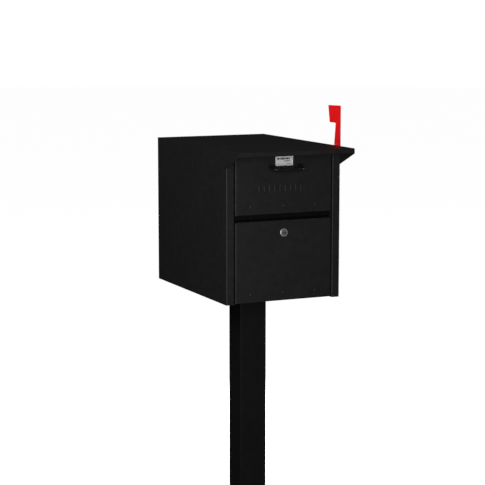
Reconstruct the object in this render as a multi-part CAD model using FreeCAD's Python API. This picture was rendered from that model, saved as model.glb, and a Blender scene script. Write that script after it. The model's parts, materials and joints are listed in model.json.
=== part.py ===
"""Locking roadside mailbox on a square pedestal, one STEP file for each piece.

Millimetres, +Z up, +X to the right of someone facing the doors, the doors facing -Y.
The origin is the centre of the underside of the pedestal's base plate.
"""

import FreeCAD, Part
import math
import os

Vector = FreeCAD.Vector
RIGHT = Vector(1, 0, 0)
BACKWARD = Vector(0, 1, 0)
UP = Vector(0, 0, 1)

# ---- pedestal ----
POST_SIDE = 76.2
POST_WALL = 3.2
POST_CORNER = 1.5
POST_BORE_CORNER = 0.8
POST_LENGTH = 800.0
BASE_PLATE_SIDE = 200.0
BASE_PLATE_THICKNESS = 9.5
ANCHOR_SPACING = 160.0
ANCHOR_HOLE_RADIUS = 7.0
TOP_PLATE_SIDE = 165.0
TOP_PLATE_THICKNESS = 6.4
PLATE_CORNER = 10.0
WELD_LEG = 4.0

# ---- cabinet, heights measured from its underside ----
CABINET_WIDTH = 327.0
CABINET_DEPTH = 474.0
CABINET_HEIGHT = 400.0
POST_SETBACK = 226.0  # cabinet front to the post's centre line
SHEET = 1.6
BEND = 0.8  # inside radius of a fold
HOOD_OVERHANG = 79.0
HOOD_LIP = 13.4
HOOD_HEM = 9.0
GUSSET_DROP = 47.0
JAMB_WIDTH = 22.5
JAMB_PAST_DOOR = 2.0  # jamb's fold behind the back edge of a door
FLANGE = 18.0  # rear, top and bottom flanges of the shell
SEAM = 0.3  # gap between neighbouring cut edges of sheet
REST_GAP = 0.3  # gap between a moving piece and what it comes to rest on

# ---- doors ----
UPPER_SILL = 231.6  # cabinet's underside to the seat of the upper hinge
DOOR_BAND = 18.0  # recess between the doors
DOOR_TOP_GAP = 4.4  # upper door to the roof sheet
DOOR_GAP = 2.8  # each side, door to jamb
DOOR_DEPTH = 18.0
DOOR_LIP = 11.0
DOOR_STOP_GAP = 3.0  # back edge of a door to the rail that it shuts against
RIB_COUNT = 9
RIB_PITCH = 15.0
RIB_OFFSET = -10.0  # middle of the row from the door's middle
RIB_LENGTH = 20.0
RIB_RISE = 0.4
RIB_CROWN = 6.0
RIB_HEIGHT = 62.0  # hinge line to the middle of the ribs

# ---- piano hinges ----
HINGE_INSET = 5.2  # end of a hinge inside the door's edge
HINGE_KNUCKLES = 13
KNUCKLE_RADIUS = 3.2
KNUCKLE_GAP = 0.3
PIN_RADIUS = 1.5
RUNNING_GAP = 0.05
LEAF_WIDTH = 25.0
LEAF_THICKNESS = 1.2
LEAF_DROP = 0.2  # fixed leaf's underside below the knuckles
FACE_GAP = 0.7  # door's face to the knuckles
DOOR_SKIRT = 3.8  # door's face below the hinge line
HINGE_RIVET_RISE = 16.0  # hinge line to the rivets in each leaf
HINGE_RIVET_PITCH = 93.0

# ---- rails, shelf and baffle ----
RAIL_RECESS = 14.0
RAIL_LAP = 19.0  # rail's ledge under the front of the shelf
RAIL_STOP_DROP = 36.6  # sill to the stop flange's lower edge
RAIL_STEP_DROP = 15.0
HEADER_DROP = 42.0  # cabinet's top to the header's lower edge
HEADER_LEDGE = 24.0
SHELF_FLANGE = 15.0
SHELF_LIP = 12.0
DROP_LENGTH = 171.0  # shelf's back edge to the back panel
BAFFLE_RISE = 58.0  # sill to the baffle's fold
BAFFLE_REACH = 75.0
BAFFLE_FALL = 42.0
BAFFLE_FLANGE = 16.0
DOUBLER_SIDE = 165.0
DOUBLER_THICKNESS = 3.0
WEEP_RADIUS = 3.0
WEEP_INSET = 34.0

# ---- cam lock ----
LOCK_DROP = 32.8  # lower door's top to the lock
LOCK_FACE_RADIUS = 11.0
LOCK_FACE_RISE = 2.2
LOCK_FACE_EDGE = 1.2
LOCK_BARREL_RADIUS = 9.4
LOCK_HOLE_GAP = 0.2
PLUG_RADIUS = 6.5
PLUG_TAIL_SIDE = 7.0
KEYWAY_WIDTH = 2.0
KEYWAY_HEIGHT = 8.0
KEYWAY_DEPTH = 14.0
CAM_GAP = 0.6  # cam to the back of the rail's stop flange
CAM_THICKNESS = 2.0
CAM_WIDTH = 13.0
CAM_REACH = 30.0
CAM_SCREW_RADIUS = 2.0
LOCK_NUT_FLATS = 25.0
LOCK_NUT_THICKNESS = 4.0

# ---- pull handle ----
HANDLE_DROP = 41.0  # upper door's top to the handle's feet
HANDLE_SPAN = 83.0
HANDLE_REACH = 31.0
HANDLE_ROD_RADIUS = 4.5
HANDLE_BEND = 10.0
HANDLE_DROOP = 9.0  # degrees below level
HANDLE_COLLAR_RADIUS = 7.0
HANDLE_COLLAR_RISE = 1.6
SCREW_RADIUS = 2.0
SCREW_HEAD_RADIUS = 4.0
SCREW_HEAD_RISE = 2.4
SCREW_BITE = 10.0

# ---- label plate ----
LABEL_WIDTH = 50.0
LABEL_TALL = 26.0
LABEL_DROP = 13.0  # upper door's top to the plate
LABEL_THICKNESS = 0.8
LABEL_RIM = 1.6
LABEL_RIM_RISE = 0.4

# ---- door catch and bumpers ----
CATCH_WIDTH = 44.0
CATCH_TALL = 14.0
CATCH_DROP = 27.0  # cabinet's top to the middle of the catch
CATCH_CORNER = 1.6
MAGNET_WIDTH = 30.0
MAGNET_TALL = 7.0
MAGNET_DEPTH = 6.0
STRIKE_WIDTH = 40.0
STRIKE_TALL = 12.0
STRIKE_THICKNESS = 1.2
CATCH_SCREW_PITCH = 34.0
BUMPER_RADIUS = 4.5
BUMPER_INSET = 39.2  # from the door's edge
BUMPER_EDGE = 1.0

# ---- flag ----
FLAG_THICKNESS = 2.5
FLAG_STANDOFF = 6.5
FLAG_FRONT = 15.8  # arm's front edge behind the cabinet's front
FLAG_ARM_WIDTH = 31.5
FLAG_NECK_WIDTH = 24.0
FLAG_HEAD_TOP_WIDTH = 66.3
FLAG_HEAD_FOOT_WIDTH = 58.1
FLAG_RISE = 104.5  # above the cabinet's top
FLAG_HEAD_TALL = 46.5
FLAG_TOP_FALL = 1.8  # head's top edge, front to back
FLAG_PIVOT_DROP = 22.0  # below the cabinet's top
FLAG_CORNER = 1.5
BUSH_RADIUS = 6.0
BUSH_FLANGE_RADIUS = 10.0
FLAG_BOLT_RADIUS = 3.2
FLAG_WASHER_RADIUS = 8.0
FLAG_WASHER_THICKNESS = 1.5
FLAG_NUT_FLATS = 11.0
FLAG_NUT_THICKNESS = 6.0
STOP_RADIUS = 3.0
STOP_EDGE = 0.8
STOP_RISE = 12.0  # pivot to each stop, along the arm

# ---- rivets and mounting bolts ----
RIVET_RADIUS = 1.6
RIVET_HEAD_RADIUS = 3.4
RIVET_HEAD_RISE = 1.2
DOOR_RIVET_RISE = 0.9
RIVET_BORE_RADIUS = 1.2
RIVET_BORE_DEPTH = 1.6  # from the crown of the head
REAR_RIVETS_PER_SIDE = 4
REAR_RIVETS_ACROSS = 3
REAR_RIVET_END_MARGIN = 40.0
HOLE_GAP = 0.05  # rivet and screw holes, radial
BOLT_SPACING = 120.0
BOLT_RADIUS = 4.0
BOLT_HOLE_GAP = 0.5
BOLT_HEAD_FLATS = 13.0
BOLT_HEAD_THICKNESS = 5.3
BOLT_TAIL = 3.0
WASHER_RADIUS = 9.0
WASHER_THICKNESS = 1.6

# ---- places worked out from the sizes above ----
HALF = CABINET_WIDTH / 2
INNER_HALF = HALF - SHEET
FRONT = -POST_SETBACK
BACK = FRONT + CABINET_DEPTH
HOOD_FRONT = FRONT - HOOD_OVERHANG
UNDERSIDE = BASE_PLATE_THICKNESS + POST_LENGTH + TOP_PLATE_THICKNESS - SHEET
TOP = UNDERSIDE + CABINET_HEIGHT
FLOOR_TOP = UNDERSIDE + 2 * SHEET
JAMB_INNER = HALF - JAMB_WIDTH
DOOR_HALF = JAMB_INNER - DOOR_GAP
HINGE_HALF = DOOR_HALF - HINGE_INSET
SILL = UNDERSIDE + UPPER_SILL
LOWER_DOOR_TOP = SILL - DOOR_BAND
UPPER_DOOR_TOP = TOP - SHEET - DOOR_TOP_GAP
HINGE_Y = FRONT + SHEET + FACE_GAP + KNUCKLE_RADIUS
HINGE_RISE = KNUCKLE_RADIUS + LEAF_DROP  # leaf's seat to the hinge line
LOWER_HINGE_Z = FLOOR_TOP + HINGE_RISE
UPPER_HINGE_Z = SILL + HINGE_RISE
DOOR_BACK = FRONT + DOOR_DEPTH
JAMB_BACK = DOOR_BACK + JAMB_PAST_DOOR
RAIL_STOP_Y = DOOR_BACK + DOOR_STOP_GAP
FLOOR_FRONT = HINGE_Y + DOOR_SKIRT + FACE_GAP
REAR_PANEL_BACK = BACK - SHEET
REAR_PANEL_FRONT = REAR_PANEL_BACK - SHEET
SHELF_TOP = SILL + SHEET
SHELF_FRONT = HINGE_Y + LEAF_WIDTH + SEAM
SHELF_BACK = REAR_PANEL_FRONT - DROP_LENGTH
CAM_FRONT = RAIL_STOP_Y + SHEET + CAM_GAP
CATCH_FRONT = FRONT + SHEET + STRIKE_THICKNESS + REST_GAP
CATCH_Z = TOP - CATCH_DROP
LOCK_Z = LOWER_DOOR_TOP - LOCK_DROP
HANDLE_Z = UPPER_DOOR_TOP - HANDLE_DROP
FLAG_INNER_X = HALF + FLAG_STANDOFF
FLAG_OUTER_X = FLAG_INNER_X + FLAG_THICKNESS
FLAG_PIVOT_Y = FRONT + FLAG_FRONT + FLAG_ARM_WIDTH / 2
FLAG_PIVOT_Z = TOP - FLAG_PIVOT_DROP
TOP_PLATE_TOP = UNDERSIDE + SHEET
TOP_PLATE_UNDERSIDE = TOP_PLATE_TOP - TOP_PLATE_THICKNESS


def at(axis, u, v, w):
    """Point with section coordinates u, v at distance w along the axis that the section is square to."""
    if axis is RIGHT:
        return Vector(w, u, v)
    if axis is BACKWARD:
        return Vector(u, w, v)
    return Vector(u, v, w)


def outline(corners, axis, start, length):
    """Solid with a closed outline of (u, v, corner radius), extruded along an axis."""
    points = [at(axis, u, v, start) for u, v, _ in corners]
    edges = []
    ends = []
    for i, (_, _, radius) in enumerate(corners):
        corner = points[i]
        if radius == 0:
            ends.append((corner, corner, None))
            continue
        to_last = (points[i - 1] - corner).normalize()
        to_next = (points[(i + 1) % len(points)] - corner).normalize()
        half_angle = to_last.getAngle(to_next) / 2
        run = radius / math.tan(half_angle)
        inward = (to_last + to_next).normalize()
        middle = corner + inward * (radius / math.sin(half_angle) - radius)
        ends.append((corner + to_last * run, corner + to_next * run, middle))
    for i, (first, last, middle) in enumerate(ends):
        if middle is not None:
            edges.append(Part.Arc(first, middle, last).toShape())
        following = ends[(i + 1) % len(ends)][0]
        if last.distanceToPoint(following) > 1e-6:
            edges.append(Part.LineSegment(last, following).toShape())
    return Part.Face(Part.Wire(edges)).extrude(axis * length)


def folded(path, axis, start, length, thickness=SHEET):
    """Folded sheet: path is its outside, and the metal lies to the right of the path's direction."""
    points = [Vector(u, v, 0) for u, v in path]
    headings = [(b - a).normalize() for a, b in zip(points, points[1:])]
    outside = [(points[0].x, points[0].y, 0)]
    first_side = Vector(headings[0].y, -headings[0].x, 0) * thickness
    inside = [(points[0].x + first_side.x, points[0].y + first_side.y, 0)]
    for corner, before, after in zip(points[1:-1], headings, headings[1:]):
        side_before = Vector(before.y, -before.x, 0)
        side_after = Vector(after.y, -after.x, 0)
        mitre = (side_before + side_after) * (thickness / (1 + side_before.dot(side_after)))
        turns_right = before.cross(after).z < 0
        outer_radius = BEND + thickness if turns_right else BEND
        inner_radius = BEND if turns_right else BEND + thickness
        outside.append((corner.x, corner.y, outer_radius))
        inside.append((corner.x + mitre.x, corner.y + mitre.y, inner_radius))
    last_side = Vector(headings[-1].y, -headings[-1].x, 0) * thickness
    outside.append((points[-1].x, points[-1].y, 0))
    inside.append((points[-1].x + last_side.x, points[-1].y + last_side.y, 0))
    return outline(outside + inside[::-1], axis, start, length)


def block(x, y, z):
    """Box from three (low, high) pairs."""
    return Part.makeBox(x[1] - x[0], y[1] - y[0], z[1] - z[0], Vector(x[0], y[0], z[0]))


def rod(radius, start, direction, length):
    return Part.makeCylinder(radius, length, start, direction)


def tube(outer, inner, start, direction, length):
    return rod(outer, start, direction, length).cut(rod(inner, start, direction, length))


def square_prism(side, corner, base, height):
    """Upright square bar with rounded corners, centred on the post's axis."""
    h = side / 2
    return outline([(-h, -h, corner), (h, -h, corner), (h, h, corner), (-h, h, corner)], UP, base, height)


def hexagon(flats, centre, direction, thickness):
    """Hexagonal nut or bolt head with its corners turned down."""
    corner_radius = flats / math.sqrt(3)
    tip_radius = flats * 0.49
    side = RIGHT if direction.cross(RIGHT).Length > 0.5 else BACKWARD
    other = direction.cross(side)
    turns = [math.radians(60 * k) for k in range(7)]
    ring = [centre + (side * math.cos(t) + other * math.sin(t)) * corner_radius for t in turns]
    prism = Part.Face(Part.makePolygon(ring)).extrude(direction * thickness)
    turned = Part.makeCone(tip_radius + thickness, tip_radius, thickness, centre, direction)
    return prism.common(turned)


def dome(radius, rise, centre, direction):
    """Low domed head: the cap of a ball, standing on centre."""
    ball = (radius * radius + rise * rise) / (2 * rise)
    cap = Part.makeSphere(ball, centre + direction * (rise - ball))
    return cap.common(rod(radius + 1, centre, direction, rise + 1))


def rivet(seat, outward, grip, rise=RIVET_HEAD_RISE):
    """Set blind rivet: domed head on the seat, hollow at its crown, shank and flat upset tail."""
    head = dome(RIVET_HEAD_RADIUS, rise, seat, outward)
    shank = rod(RIVET_RADIUS, seat, -outward, grip)
    tail = rod(RIVET_RADIUS * 1.6, seat - outward * grip, -outward, RIVET_HEAD_RISE)
    bore = rod(RIVET_BORE_RADIUS, seat + outward * rise, -outward, RIVET_BORE_DEPTH)
    return head.fuse([shank, tail]).removeSplitter().cut(bore)


def drilled(shape, seats, direction, radius):
    """Shape with round holes along direction through each seat, reaching 20 mm to both sides."""
    return shape.cut([rod(radius, seat - direction * 20, direction, 40) for seat in seats])


def grid(spacing, z):
    """Four points at the corners of a square centred on the post's axis."""
    h = spacing / 2
    return [Vector(x, y, z) for x in (-h, h) for y in (-h, h)]


def mirrored(shape):
    return shape.mirror(Vector(0, 0, 0), RIGHT)


def save(name, *shapes):
    shape = shapes[0] if len(shapes) == 1 else Part.makeCompound(shapes)
    shape.exportStep("parts/" + name + ".step")


# ---- pedestal ----

def base_plate():
    plate = square_prism(BASE_PLATE_SIDE, PLATE_CORNER, 0, BASE_PLATE_THICKNESS)
    return drilled(plate, grid(ANCHOR_SPACING, 0), UP, ANCHOR_HOLE_RADIUS)


def post():
    outer = square_prism(POST_SIDE, POST_CORNER, BASE_PLATE_THICKNESS, POST_LENGTH)
    bore_side = POST_SIDE - 2 * POST_WALL
    return outer.cut(square_prism(bore_side, POST_BORE_CORNER, BASE_PLATE_THICKNESS, POST_LENGTH))


def top_plate():
    plate = square_prism(TOP_PLATE_SIDE, PLATE_CORNER, TOP_PLATE_UNDERSIDE, TOP_PLATE_THICKNESS)
    return drilled(plate, grid(BOLT_SPACING, TOP_PLATE_TOP), UP, BOLT_RADIUS + BOLT_HOLE_GAP)


def weld(base, direction):
    """Fillet weld round the post, its wide foot on the plate at base."""
    core = square_prism(POST_SIDE, POST_CORNER, base - WELD_LEG, 2 * WELD_LEG)
    low = min(base, base + direction * WELD_LEG)
    wide = square_prism(POST_SIDE + 2 * WELD_LEG, POST_CORNER + WELD_LEG, low, WELD_LEG)
    rim = [edge for edge in wide.Edges
           if all(abs(v.Z - base) > WELD_LEG / 2 for v in edge.Vertexes)]
    return wide.makeChamfer(WELD_LEG - 0.4, rim).cut(core)


# ---- cabinet shell ----

def rear_rivet_seats():
    """Rivets down both rear flanges: seats on the back of the flanges."""
    span = CABINET_HEIGHT - 2 * REAR_RIVET_END_MARGIN
    heights = [UNDERSIDE + REAR_RIVET_END_MARGIN + span * k / (REAR_RIVETS_PER_SIDE - 1)
               for k in range(REAR_RIVETS_PER_SIDE)]
    return [Vector(side * (HALF - FLANGE / 2), BACK, z) for side in (-1, 1) for z in heights]


def rear_row(y, z):
    """Rivets in a level row across the back."""
    pitch = (CABINET_WIDTH - 4 * FLANGE) / (REAR_RIVETS_ACROSS - 1)
    middle = (REAR_RIVETS_ACROSS - 1) / 2
    return [Vector((k - middle) * pitch, y, z) for k in range(REAR_RIVETS_ACROSS)]


TOP_ROW = rear_row(BACK, TOP - FLANGE / 2)
FLOOR_ROW = rear_row(REAR_PANEL_BACK, FLOOR_TOP + FLANGE / 2)


def left_side_panel():
    """One folded sheet: jamb, front face, side, rear flange, hood gusset, top and bottom flanges."""
    wrap = folded([(-JAMB_INNER, JAMB_BACK), (-JAMB_INNER, FRONT), (-HALF, FRONT), (-HALF, BACK),
                   (-HALF + FLANGE, BACK)],
                  UP, UNDERSIDE, CABINET_HEIGHT - SHEET)
    gusset = outline([(FRONT + FLANGE, TOP - SHEET, 0), (HOOD_FRONT, TOP - SHEET, BEND),
                      (HOOD_FRONT, TOP - HOOD_LIP, BEND), (FRONT, TOP - GUSSET_DROP, 0),
                      (FRONT + FLANGE, TOP - GUSSET_DROP, 0)],
                     RIGHT, -HALF, SHEET)
    run = (FRONT + 2 * FLANGE + HEADER_LEDGE, BACK - 2 * SHEET - SEAM)
    top_flange = block((-HALF, -HALF + FLANGE), run, (TOP - 2 * SHEET, TOP - SHEET))
    foot_flange = block((-HALF, -HALF + FLANGE), (JAMB_BACK + FLANGE, run[1]),
                        (UNDERSIDE, UNDERSIDE + SHEET))
    panel = wrap.fuse([gusset, top_flange, foot_flange]).removeSplitter()
    return drilled(panel, rear_rivet_seats(), BACKWARD, RIVET_RADIUS + HOLE_GAP)


def top_panel():
    """Roof sheet with the hood's lip and hem at the front and a flange at the back."""
    sheet = folded([(HOOD_FRONT + HOOD_HEM, TOP - HOOD_LIP), (HOOD_FRONT, TOP - HOOD_LIP), (HOOD_FRONT, TOP),
                    (BACK, TOP), (BACK, TOP - FLANGE)],
                   RIGHT, -HALF, CABINET_WIDTH)
    below = (TOP - FLANGE - 1, TOP - SHEET)
    beyond = HALF + 1
    lip_end = block((INNER_HALF, beyond), (HOOD_FRONT - 1, FRONT), below)
    flange_end = block((HALF - FLANGE - SEAM, beyond), (FRONT, BACK + 1), below)
    trims = [lip_end, flange_end, mirrored(lip_end), mirrored(flange_end)]
    return drilled(sheet.cut(trims), TOP_ROW, BACKWARD, RIVET_RADIUS + HOLE_GAP)


def rear_panel():
    clear = SHEET + BEND + SEAM
    width = (-HALF + clear, HALF - clear)
    plate = block(width, (REAR_PANEL_FRONT, REAR_PANEL_BACK), (UNDERSIDE, TOP - clear))
    seats = rear_rivet_seats() + TOP_ROW + FLOOR_ROW
    return drilled(plate, seats, BACKWARD, RIVET_RADIUS + HOLE_GAP)


def floor_panel():
    """Floor sheet on the side flanges, notched round the jambs and turned up at the back."""
    wide = INNER_HALF - SEAM
    narrow = JAMB_INNER - SEAM
    notch = JAMB_BACK + SEAM
    back = REAR_PANEL_FRONT - SHEET
    sheet = outline([(-narrow, FLOOR_FRONT, 0), (narrow, FLOOR_FRONT, 0), (narrow, notch, 0),
                     (wide, notch, 0), (wide, back, 0),
                     (-wide, back, 0), (-wide, notch, 0), (-narrow, notch, 0)],
                    UP, FLOOR_TOP - SHEET, SHEET)
    upstand = block((-HALF + FLANGE + SEAM, HALF - FLANGE - SEAM), (back, REAR_PANEL_FRONT),
                    (FLOOR_TOP - SHEET, FLOOR_TOP + FLANGE))
    sheet = drilled(sheet.fuse(upstand).removeSplitter(), FLOOR_ROW, BACKWARD, RIVET_RADIUS + HOLE_GAP)
    sheet = drilled(sheet, grid(BOLT_SPACING, FLOOR_TOP), UP, BOLT_RADIUS + BOLT_HOLE_GAP)
    sheet = drilled(sheet, leaf_rivet_seats(FLOOR_TOP), UP, RIVET_RADIUS + HOLE_GAP)
    weeps = [Vector(side * (INNER_HALF - WEEP_INSET), y, FLOOR_TOP)
             for side in (-1, 1) for y in (FLOOR_FRONT + 2 * WEEP_INSET, back - WEEP_INSET)]
    return drilled(sheet, weeps, UP, WEEP_RADIUS)


def floor_doubler():
    plate = square_prism(DOUBLER_SIDE, PLATE_CORNER, FLOOR_TOP, DOUBLER_THICKNESS)
    return drilled(plate, grid(BOLT_SPACING, FLOOR_TOP), UP, BOLT_RADIUS + BOLT_HOLE_GAP)


def centre_rail():
    """Rail between the doors: ledge under the upper hinge, front web, step and stop flange."""
    step = SILL - RAIL_STEP_DROP
    web = FRONT + RAIL_RECESS + SHEET
    path = [(SHELF_FRONT + RAIL_LAP, SILL - SHEET), (web, SILL - SHEET), (web, step + SHEET),
            (RAIL_STOP_Y + SHEET, step + SHEET), (RAIL_STOP_Y + SHEET, SILL - RAIL_STOP_DROP)]
    rail = folded(path, RIGHT, -JAMB_INNER, 2 * JAMB_INNER)
    rail = drilled(rail, leaf_rivet_seats(SILL), UP, RIVET_RADIUS + HOLE_GAP)
    return drilled(rail, bumper_seats(LOWER_DOOR_TOP), BACKWARD, RIVET_RADIUS + HOLE_GAP)


def header_rail():
    """Angle under the roof that the upper door shuts against."""
    path = [(RAIL_STOP_Y, TOP - HEADER_DROP), (RAIL_STOP_Y, TOP - SHEET),
            (RAIL_STOP_Y + HEADER_LEDGE, TOP - SHEET)]
    rail = folded(path, RIGHT, -INNER_HALF, 2 * INNER_HALF)
    rail = drilled(rail, catch_screw_seats(), BACKWARD, SCREW_RADIUS + HOLE_GAP)
    return drilled(rail, bumper_seats(UPPER_DOOR_TOP), BACKWARD, RIVET_RADIUS + HOLE_GAP)


def mail_shelf():
    """Tray under the upper compartment, stopping short of the back so that mail drops behind it."""
    half_lip = INNER_HALF - FLANGE
    tray = folded([(-INNER_HALF, SHELF_TOP - SHELF_FLANGE), (-INNER_HALF, SHELF_TOP), (INNER_HALF, SHELF_TOP),
                   (INNER_HALF, SHELF_TOP - SHELF_FLANGE)],
                  BACKWARD, SHELF_FRONT, SHELF_BACK - SHELF_FRONT)
    lip = folded([(SHELF_BACK, SHELF_TOP + SHELF_LIP), (SHELF_BACK, SHELF_TOP - SHEET),
                  (SHELF_BACK - FLANGE, SHELF_TOP - SHEET)],
                 RIGHT, -half_lip, 2 * half_lip)
    return tray.fuse(lip).removeSplitter()


def drop_baffle():
    """Plate on the back panel that slopes forward and down over the drop to the lower compartment."""
    top = SILL + BAFFLE_RISE
    half = INNER_HALF - FLANGE
    path = [(REAR_PANEL_FRONT, top + BAFFLE_FLANGE), (REAR_PANEL_FRONT, top),
            (REAR_PANEL_FRONT - BAFFLE_REACH, top - BAFFLE_FALL)]
    return folded(path, RIGHT, -half, 2 * half)


# ---- hinges ----

def leaf_rivet_seats(z):
    """Rivets through a fixed hinge leaf and its seat at height z."""
    y = HINGE_Y + HINGE_RIVET_RISE
    return [Vector(k * HINGE_RIVET_PITCH, y, z) for k in (-1, 0, 1)]


def door_rivet_seats(hinge_z):
    """Rivets through a door's face and its hinge leaf."""
    z = hinge_z + HINGE_RIVET_RISE
    return [Vector(k * HINGE_RIVET_PITCH, FRONT, z) for k in (-1, 0, 1)]


def knuckles(hinge_z, remainder):
    """Every second knuckle of a hinge, as (start, length) spans and solid rods."""
    pitch = 2 * HINGE_HALF / HINGE_KNUCKLES
    spans = [(-HINGE_HALF + k * pitch + KNUCKLE_GAP / 2, pitch - KNUCKLE_GAP)
             for k in range(HINGE_KNUCKLES) if k % 2 == remainder]
    rods = [rod(KNUCKLE_RADIUS, Vector(x, HINGE_Y, hinge_z), RIGHT, length) for x, length in spans]
    return spans, rods


def fixed_leaf(hinge_z):
    spans, rods = knuckles(hinge_z, 0)
    thick = (hinge_z - HINGE_RISE, hinge_z - HINGE_RISE + LEAF_THICKNESS)
    root = HINGE_Y + KNUCKLE_RADIUS + 2 * KNUCKLE_GAP
    plate = block((-HINGE_HALF, HINGE_HALF), (root, HINGE_Y + LEAF_WIDTH), thick)
    tabs = [block((x, x + length), (HINGE_Y, root), thick) for x, length in spans]
    leaf = plate.fuse(rods + tabs).removeSplitter().cut(hinge_bore(hinge_z))
    return drilled(leaf, leaf_rivet_seats(hinge_z), UP, RIVET_RADIUS + HOLE_GAP)


def door_leaf(hinge_z):
    spans, rods = knuckles(hinge_z, 1)
    thick = (FRONT + SHEET, FRONT + SHEET + LEAF_THICKNESS)
    root = hinge_z + KNUCKLE_RADIUS + 2 * KNUCKLE_GAP
    plate = block((-HINGE_HALF, HINGE_HALF), thick, (root, hinge_z + LEAF_WIDTH))
    tabs = [block((x, x + length), thick, (hinge_z, root)) for x, length in spans]
    leaf = plate.fuse(rods + tabs).removeSplitter().cut(hinge_bore(hinge_z))
    return drilled(leaf, door_rivet_seats(hinge_z), BACKWARD, RIVET_RADIUS + HOLE_GAP)


def hinge_bore(hinge_z):
    return rod(PIN_RADIUS + RUNNING_GAP, Vector(-HALF, HINGE_Y, hinge_z), RIGHT, CABINET_WIDTH)


def hinge_pin(hinge_z):
    return rod(PIN_RADIUS, Vector(-HINGE_HALF, HINGE_Y, hinge_z), RIGHT, 2 * HINGE_HALF)


def leaf_rivets(z):
    """Rivets of a fixed leaf: heads on the leaf, tails under its seat."""
    seats = [seat + UP * LEAF_THICKNESS for seat in leaf_rivet_seats(z)]
    return [rivet(seat, UP, LEAF_THICKNESS + SHEET) for seat in seats]


def door_rivets(hinge_z):
    grip = SHEET + LEAF_THICKNESS
    return [rivet(seat, -BACKWARD, grip, DOOR_RIVET_RISE) for seat in door_rivet_seats(hinge_z)]


# ---- doors ----

def door_pan(hinge_z, top):
    """Face with side flanges, and a top flange with a turned-down lip."""
    foot = hinge_z - DOOR_SKIRT
    relief = SHEET + BEND
    sides = folded([(DOOR_HALF, DOOR_BACK), (DOOR_HALF, FRONT), (-DOOR_HALF, FRONT), (-DOOR_HALF, DOOR_BACK)],
                   UP, foot, top - relief - foot)
    crown = folded([(FRONT, foot), (FRONT, top), (DOOR_BACK, top), (DOOR_BACK, top - DOOR_LIP)],
                   RIGHT, -DOOR_HALF + relief, 2 * (DOOR_HALF - relief))
    clear_hinge = block((-DOOR_HALF - 1, DOOR_HALF + 1), (FRONT + relief, DOOR_BACK + 1),
                        (foot - 1, hinge_z + KNUCKLE_RADIUS + 4 * KNUCKLE_GAP))
    pan = sides.fuse(crown).removeSplitter().cut(clear_hinge)
    return drilled(pan, door_rivet_seats(hinge_z), BACKWARD, RIVET_RADIUS + HOLE_GAP)


def pressed_ribs():
    """Row of short upright ribs that stand out from the upper door's face."""
    half_width = math.sqrt(RIB_RISE * (2 * RIB_CROWN - RIB_RISE))
    straight = RIB_LENGTH - 2 * half_width
    low = UPPER_HINGE_Z + RIB_HEIGHT - straight / 2
    centre_y = FRONT - RIB_RISE + RIB_CROWN
    keep = (FRONT - RIB_RISE, FRONT + SHEET / 2)
    ribs = []
    for k in range(RIB_COUNT):
        x = RIB_OFFSET + (k - (RIB_COUNT - 1) / 2) * RIB_PITCH
        rib = rod(RIB_CROWN, Vector(x, centre_y, low), UP, straight)
        ends = [Part.makeSphere(RIB_CROWN, Vector(x, centre_y, z)) for z in (low, low + straight)]
        slab = block((x - RIB_CROWN, x + RIB_CROWN), keep, (low - RIB_CROWN, low + straight + RIB_CROWN))
        ribs.append(rib.fuse(ends).common(slab))
    return ribs


def upper_door_panel():
    pan = door_pan(UPPER_HINGE_Z, UPPER_DOOR_TOP).fuse(pressed_ribs()).removeSplitter()
    return drilled(pan, handle_seats(), BACKWARD, SCREW_RADIUS + HOLE_GAP)


def lower_door_panel():
    pan = door_pan(LOWER_HINGE_Z, LOWER_DOOR_TOP)
    return pan.cut(rod(LOCK_BARREL_RADIUS + LOCK_HOLE_GAP, lock_point(FRONT - 1), BACKWARD, DOOR_DEPTH))


# ---- pull handle and label ----

def handle_seats():
    return [Vector(side * HANDLE_SPAN / 2, FRONT, HANDLE_Z) for side in (-1, 1)]


def pull_handle():
    """Bent rod with a collar at each foot, drooping a little, its feet flat on the door."""
    h = HANDLE_SPAN / 2
    sink = 2 * HANDLE_COLLAR_RISE
    reach = -HANDLE_REACH
    turn = HANDLE_BEND * (1 - math.sqrt(0.5))
    path = Part.Wire([
        Part.LineSegment(Vector(-h, sink, 0), Vector(-h, reach + HANDLE_BEND, 0)).toShape(),
        Part.Arc(Vector(-h, reach + HANDLE_BEND, 0), Vector(-h + turn, reach + turn, 0),
                 Vector(-h + HANDLE_BEND, reach, 0)).toShape(),
        Part.LineSegment(Vector(-h + HANDLE_BEND, reach, 0), Vector(h - HANDLE_BEND, reach, 0)).toShape(),
        Part.Arc(Vector(h - HANDLE_BEND, reach, 0), Vector(h - turn, reach + turn, 0),
                 Vector(h, reach + HANDLE_BEND, 0)).toShape(),
        Part.LineSegment(Vector(h, reach + HANDLE_BEND, 0), Vector(h, sink, 0)).toShape(),
    ])
    section = Part.Wire(Part.makeCircle(HANDLE_ROD_RADIUS, Vector(-h, sink, 0), BACKWARD))
    bar = path.makePipeShell([section], True, False)
    bar.rotate(Vector(0, 0, 0), RIGHT, HANDLE_DROOP)
    bar.translate(Vector(0, FRONT, HANDLE_Z))
    beyond = block((-HANDLE_SPAN, HANDLE_SPAN), (FRONT, FRONT + HANDLE_SPAN),
                   (HANDLE_Z - HANDLE_SPAN, HANDLE_Z + HANDLE_SPAN))
    collars = [rod(HANDLE_COLLAR_RADIUS, seat, -BACKWARD, HANDLE_COLLAR_RISE) for seat in handle_seats()]
    handle = bar.cut(beyond).fuse(collars).removeSplitter()
    bores = [rod(SCREW_RADIUS + HOLE_GAP, seat, -BACKWARD, SCREW_BITE) for seat in handle_seats()]
    return handle.cut(bores)


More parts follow.
